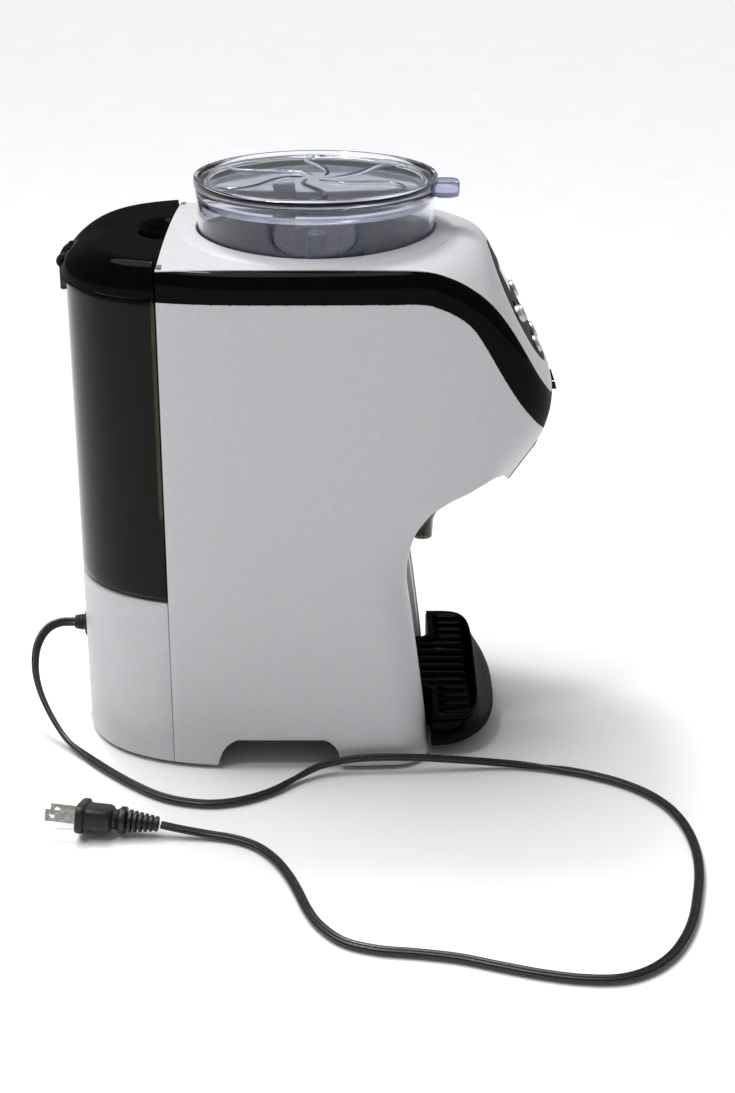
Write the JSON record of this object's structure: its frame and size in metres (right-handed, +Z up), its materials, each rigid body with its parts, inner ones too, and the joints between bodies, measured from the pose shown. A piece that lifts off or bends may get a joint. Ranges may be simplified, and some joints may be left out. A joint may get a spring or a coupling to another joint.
{
  "type": "milk powder dispenser machine",
  "caption": "Countertop milk powder mixing machine: clear round hopper, smoked rear water tank, sloped oval control panel, funnel drawer, drip tray and mains cord.",
  "frame": {"origin": "on the table, under the middle of the body's box without the cord", "axes": "+Z up, -Y towards the front with the control panel and drip tray, +X across the width to the right as seen from the front"},
  "size_m": [0.3892, 0.3832, 0.331],
  "materials": {
    "white_abs": "satin moulded",
    "piano_black": "high gloss",
    "smoked_polycarbonate": "clear smoked, polished",
    "clear_polycarbonate": "clear, polished",
    "panel_acrylic": "polished tinted",
    "grey_abs": "moulded",
    "dark_block": "moulded",
    "navy_nylon": "moulded",
    "natural_acetal": "moulded",
    "silicone_hose": "translucent",
    "black_rubber": "moulded",
    "circuit_board": "solder mask",
    "zinc_steel": "plated",
    "motor_paint": "painted",
    "key_silver": "satin painted",
    "cord_pvc": "satin PVC",
    "nickel_blade": "nickel plated"
  },
  "bodies": {
    "body": {"base_plate": "grey_abs", "left_side_panel": "white_abs", "right_side_panel": "white_abs", "top_cover": "white_abs", "trim_band": "piano_black", "front_panel": "white_abs", "rear_shell": "white_abs", "rear_bulkhead": "grey_abs", "hopper_well": "grey_abs", "hopper_collar": "white_abs", "rubber_feet": "black_rubber", "foot_screws": "zinc_steel", "tank_dock": "dark_block", "motor": "motor_paint", "motor_bracket": "zinc_steel", "powder_chute": "clear_polycarbonate", "drawer_rails": "grey_abs", "water_nozzle": "zinc_steel", "water_pump": "grey_abs", "water_heater": "zinc_steel", "hose_tank_to_pump": "silicone_hose", "hose_pump_to_heater": "silicone_hose", "hose_heater_to_nozzle": "silicone_hose", "main_board": "circuit_board", "control_board": "circuit_board", "control_panel": "panel_acrylic", "display_window": "panel_acrylic", "switch_frame": "dark_block", "cord_gland": "cord_pvc", "power_cord": "cord_pvc", "plug_body": "cord_pvc", "plug_blades": "nickel_blade"},
    "tank": {"water_tank": "smoked_polycarbonate", "tank_hinge_pin": "zinc_steel"},
    "tank_lid": {"tank_lid": "piano_black"},
    "valve": {"tank_valve": "dark_block", "tank_valve_spring": "zinc_steel"},
    "float": {"tank_float": "natural_acetal"},
    "container": {"powder_container": "clear_polycarbonate", "outlet_block": "dark_block"},
    "container_lid": {"container_lid": "clear_polycarbonate"},
    "agitator": {"stirrer": "navy_nylon", "dosing_wheel": "natural_acetal"},
    "shaft": {"drive_shaft": "zinc_steel", "drive_gear": "natural_acetal"},
    "pinion": {"motor_pinion": "zinc_steel"},
    "drawer": {"funnel_drawer": "grey_abs", "drawer_front": "smoked_polycarbonate", "funnel": "clear_polycarbonate"},
    "tray": {"drip_tray": "piano_black"},
    "grid": {"drip_grid": "piano_black"},
    "switch": {"power_switch": "dark_block"},
    "key_power": {"key_power": "key_silver"},
    "key_volume": {"key_volume": "key_silver"},
    "key_warmth": {"key_warmth": "key_silver"},
    "key_formula": {"key_formula": "key_silver"},
    "key_start": {"key_start": "key_silver"}
  },
  "joints": [
    {"name": "tank_lift", "type": "slide", "parent": "body", "child": "tank", "axis": [0, 0, 1], "range_m": [0, 0.2]},
    {"name": "tank_lid_hinge", "type": "hinge", "parent": "tank", "child": "tank_lid", "pos_m": [0, 0.1384, 0.2842], "axis": [-1, 0, 0], "range_deg": [0, 100]},
    {"name": "valve_lift", "type": "slide", "parent": "tank", "child": "valve", "axis": [0, 0, 1], "range_m": [0, 0.0024], "stiffness_N_per_m": 250, "springref_m": -0.002, "deforming": ["tank_valve_spring"]},
    {"name": "float_rise", "type": "slide", "parent": "tank", "child": "float", "axis": [0, 0, 1], "range_m": [0, 0.08]},
    {"name": "container_lift", "type": "slide", "parent": "body", "child": "container", "axis": [0, 0, 1], "range_m": [0, 0.1]},
    {"name": "container_lid_lift", "type": "slide", "parent": "container", "child": "container_lid", "axis": [0, 0, 1], "range_m": [0, 0.04]},
    {"name": "shaft_spin", "type": "hinge", "parent": "body", "child": "shaft", "pos_m": [0, -0.004, 0.22], "axis": [0, 0, 1], "continuous": true},
    {"name": "agitator_spin", "type": "hinge", "parent": "container", "child": "agitator", "pos_m": [0, -0.004, 0.245], "axis": [0, 0, 1], "continuous": true},
    {"name": "pinion_spin", "type": "hinge", "parent": "body", "child": "pinion", "pos_m": [0, 0.035, 0.22], "axis": [0, 0, 1], "continuous": true},
    {"name": "drawer_slide", "type": "slide", "parent": "body", "child": "drawer", "axis": [0, -1, 0], "range_m": [0, 0.06]},
    {"name": "tray_slide", "type": "slide", "parent": "body", "child": "tray", "axis": [0, -1, 0], "range_m": [0, 0.08]},
    {"name": "grid_lift", "type": "slide", "parent": "tray", "child": "grid", "axis": [0, 0, 1], "range_m": [0, 0.03]},
    {"name": "key_power_press", "type": "slide", "parent": "body", "child": "key_power", "axis": [0, 0.891, -0.454], "range_m": [0, 0.0008], "stiffness_N_per_m": 400, "springref_m": -0.0004},
    {"name": "key_volume_press", "type": "slide", "parent": "body", "child": "key_volume", "axis": [0, 0.891, -0.454], "range_m": [0, 0.0008], "stiffness_N_per_m": 400, "springref_m": -0.0004},
    {"name": "key_warmth_press", "type": "slide", "parent": "body", "child": "key_warmth", "axis": [0, 0.891, -0.454], "range_m": [0, 0.0008], "stiffness_N_per_m": 400, "springref_m": -0.0004},
    {"name": "key_formula_press", "type": "slide", "parent": "body", "child": "key_formula", "axis": [0, 0.891, -0.454], "range_m": [0, 0.0008], "stiffness_N_per_m": 400, "springref_m": -0.0004},
    {"name": "key_start_press", "type": "slide", "parent": "body", "child": "key_start", "axis": [0, 0.891, -0.454], "range_m": [0, 0.0008], "stiffness_N_per_m": 400, "springref_m": -0.0004},
    {"name": "switch_rock", "type": "hinge", "parent": "body", "child": "switch", "pos_m": [0.032, 0.1335, 0.055], "axis": [1, 0, 0], "range_deg": [-6, 6]}
  ],
  "couplings": [
    {"joint": "agitator_spin", "follows": "shaft_spin", "ratio": 1},
    {"joint": "pinion_spin", "follows": "shaft_spin", "ratio": -3.3333}
  ]
}
